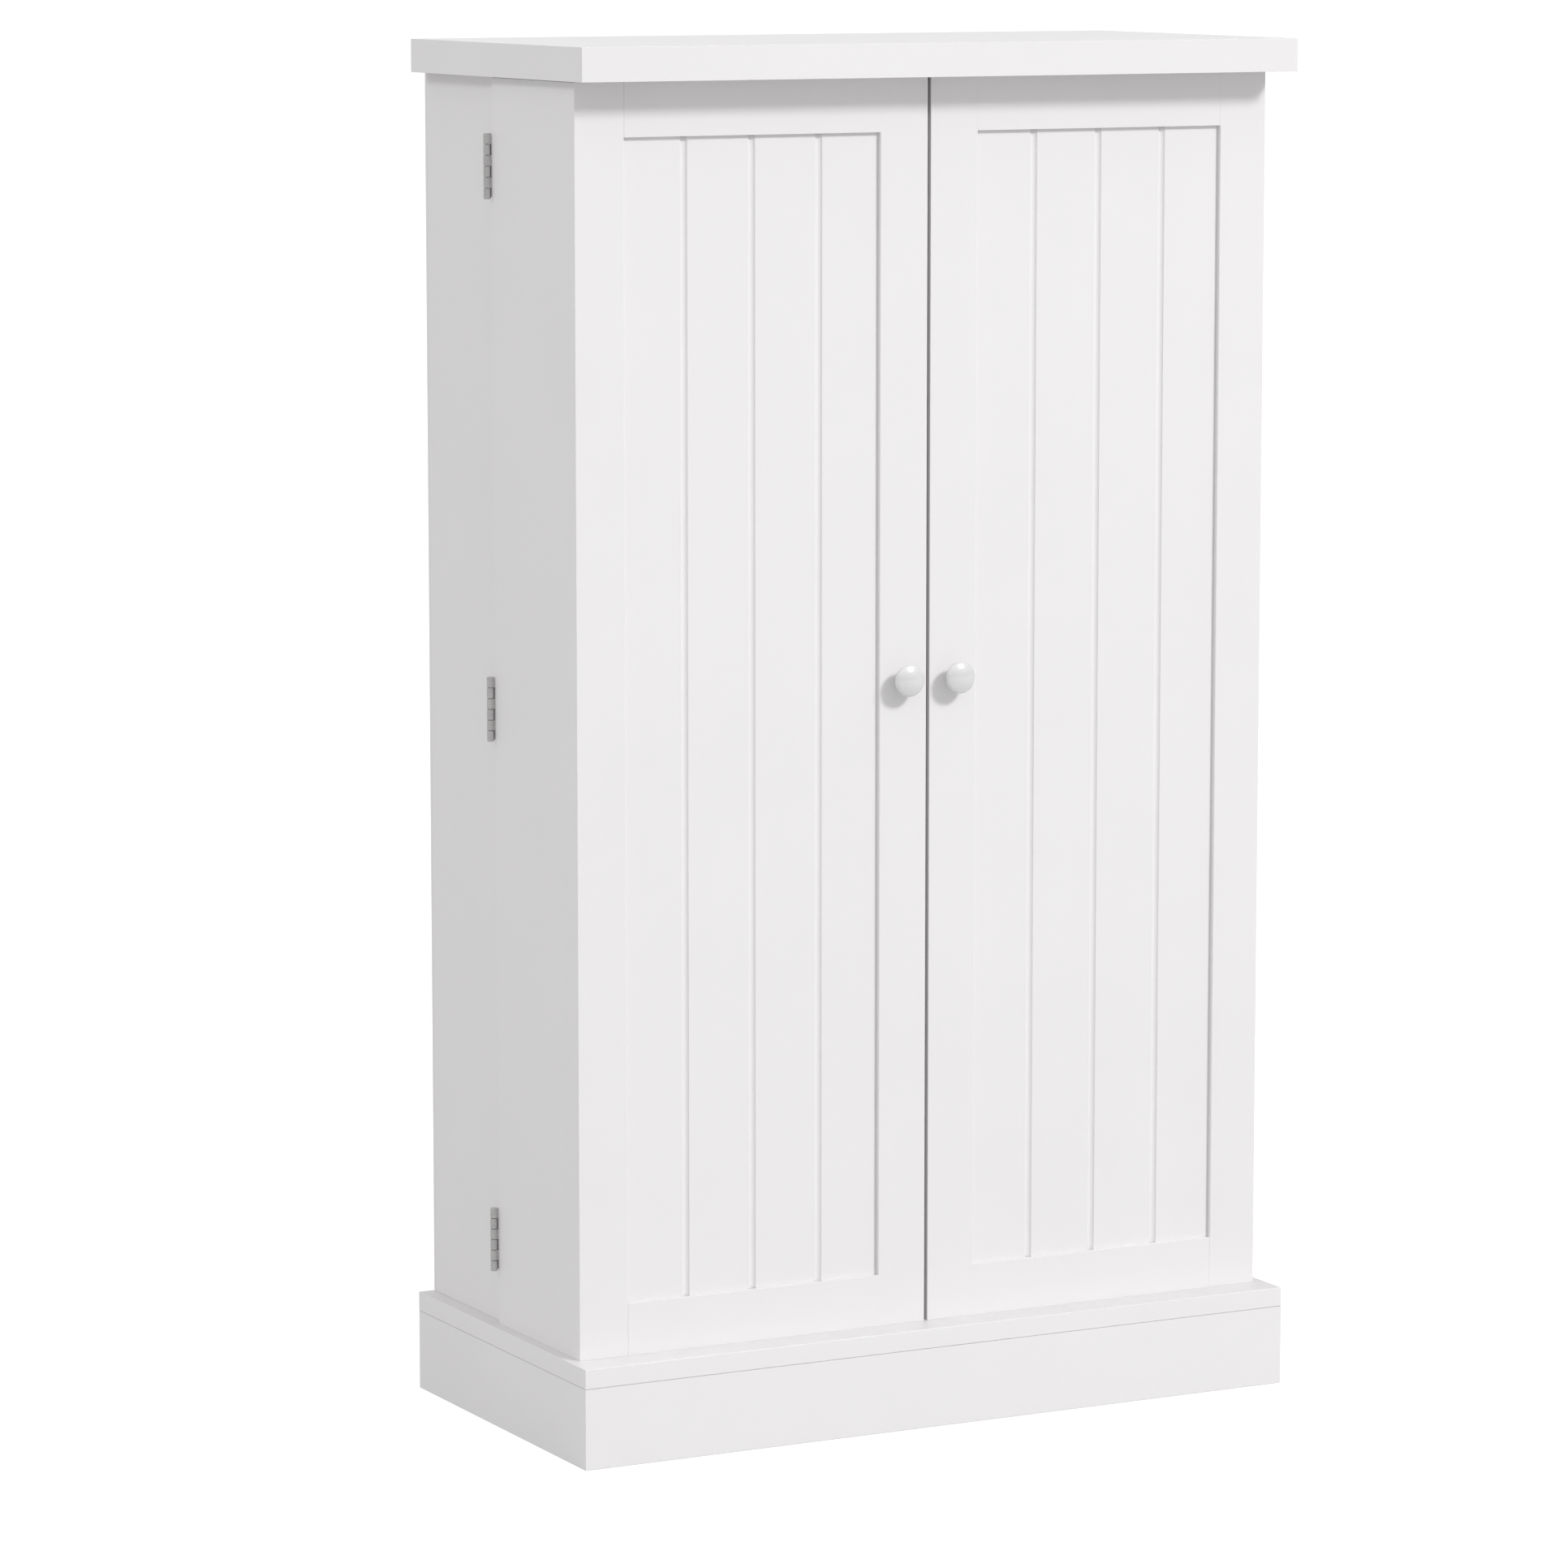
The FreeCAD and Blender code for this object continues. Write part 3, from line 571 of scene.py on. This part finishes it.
# A strip of the door's painted edge stands in each hinge's notches, clear of the carcass knuckles.
SEAT_IN, SEAT_OUT = 0.00005, 0.0006    # how far its two faces lie inside the door's outer face
SEAT_DEEP = 0.0019             # how far it stands behind the door's rear edge
SEAT_ROUNDING = 0.00005
HINGE_HALF = 0.02425           # half a hinge's length
HINGE_RELIEF = 0.0016          # the strip is this much shorter than the hinge at each end
hinges_low, hinges_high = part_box("hinge_pins")
hinge_heights = (("low", hinges_low[2] + HINGE_HALF), ("middle", (hinges_low[2] + hinges_high[2]) / 2),
                 ("high", hinges_high[2] - HINGE_HALF))
for side, sign in (("left", -1), ("right", 1)):
    outer_low, outer_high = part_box("door_" + side + "_side_outer")
    edge_x = outer_low[0] if sign < 0 else outer_high[0]
    for place, z in hinge_heights:
        x0, x1 = sorted((edge_x - sign * SEAT_IN, edge_x - sign * SEAT_OUT))
        rounded_block("door_" + side + "_hinge_seat_" + place,
                      (x0, outer_high[1] + HAIR, z - HINGE_HALF + HINGE_RELIEF),
                      (x1, outer_high[1] + SEAT_DEEP, z + HINGE_HALF - HINGE_RELIEF), SEAT_ROUNDING,
                      white_door, "door_" + side)

# The catch's two magnets: a dark ferrite bar between two steel pole plates, let into each arm's face.
MAGNET_RISE = 0.006            # from the catch's underside to the magnets' middle
MAGNET_INSET = 0.002           # how deep they are let in
MAGNET_ROUNDING = 0.00012
catch_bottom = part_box("magnet_catch")[0][2]
arm_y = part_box("magnet_catch")[0][1]
for side in ("left", "right"):
    strike_low, strike_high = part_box("door_" + side + "_strike_plate")
    x = (strike_low[0] + strike_high[0]) / 2
    z = catch_bottom + MAGNET_RISE
    for name, half_wide, z0, z1, stand, material in (
            ("magnet", 0.0044, z - 0.0017, z + 0.0017, 0.00005, ferrite),
            ("pole_plate_upper", 0.0050, z + 0.0019, z + 0.0031, 0.00015, zinc_steel),
            ("pole_plate_lower", 0.0050, z - 0.0031, z - 0.0019, 0.00015, zinc_steel)):
        rounded_block("catch_" + name + "_" + side, (x - half_wide, arm_y - stand, z0),
                      (x + half_wide, arm_y + MAGNET_INSET, z1), MAGNET_ROUNDING, material, "carcass")

# Two pan-head screws hold the catch up under the top board, in the CAD piece's two holes.
CATCH_SCREW_X, CATCH_SCREW_Y = 0.0195, 0.042
pan_head = [(0.0016, -0.004), (0.0016, 0.0), (0.0034, 0.0), (0.0034, 0.0005), (0.0031, 0.0011),
            (0.0023, 0.0015), (0.0011, 0.0016), (0.0010, 0.0007)]
for side, sign in (("left", -1), ("right", 1)):
    turned("catch_screw_" + side, pan_head, (sign * CATCH_SCREW_X, CATCH_SCREW_Y, catch_bottom),
           (0, 0, -1), zinc_steel, "carcass")

# Clear silicone dots on the lock side of each door take the knock when it shuts.
DOT_OVER_BOTTOM, DOT_UNDER_TOP = 0.03, 0.06
dot = [(0.0042, 0.0), (0.0042, 0.0003), (0.0039, 0.0008), (0.0032, 0.0013), (0.0020, 0.0016),
       (0.0006, 0.0017)]
for side in ("left", "right"):
    low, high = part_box("door_" + side + "_side_inner")
    x = (low[0] + high[0]) / 2
    for place, z in (("low", low[2] + DOT_OVER_BOTTOM), ("high", high[2] - DOT_UNDER_TOP)):
        turned("door_" + side + "_bumper_" + place, dot, (x, high[1], z), (0, 1, 0), silicone,
               "door_" + side)


# ------------------------------------------------------------------ floor
floor_mesh = bpy.data.meshes.new("Floor")
bm = bmesh.new()
bmesh.ops.create_grid(bm, x_segments=8, y_segments=8, size=120.0)
bm.to_mesh(floor_mesh)
bm.free()
floor = bpy.data.objects.new("Floor", floor_mesh)
scene.collection.objects.link(floor)
# The floor looks near white, but sends only a little light back up, as a matt studio floor does.
g = Graph("Floor")
seen_floor = g.tree.nodes.new("ShaderNodeBsdfPrincipled")
for shader, glow in ((g.bsdf, 0.27), (seen_floor, 0.83)):
    shader.inputs["Base Color"].default_value = (*grey(0.3), 1.0)
    shader.inputs["Roughness"].default_value = 0.9
    shader.inputs["Specular IOR Level"].default_value = 0.0
    shader.inputs["Emission Color"].default_value = (*grey(1.0), 1.0)
    shader.inputs["Emission Strength"].default_value = glow
either = g.tree.nodes.new("ShaderNodeMixShader")
ray = g.tree.nodes.new("ShaderNodeLightPath")
g.link(ray.outputs["Is Camera Ray"], either.inputs[0])
g.link(g.bsdf.outputs[0], either.inputs[1])
g.link(seen_floor.outputs[0], either.inputs[2])
g.link(either.outputs[0], g.tree.nodes["Material Output"].inputs["Surface"])
floor_mesh.materials.append(g.mat)
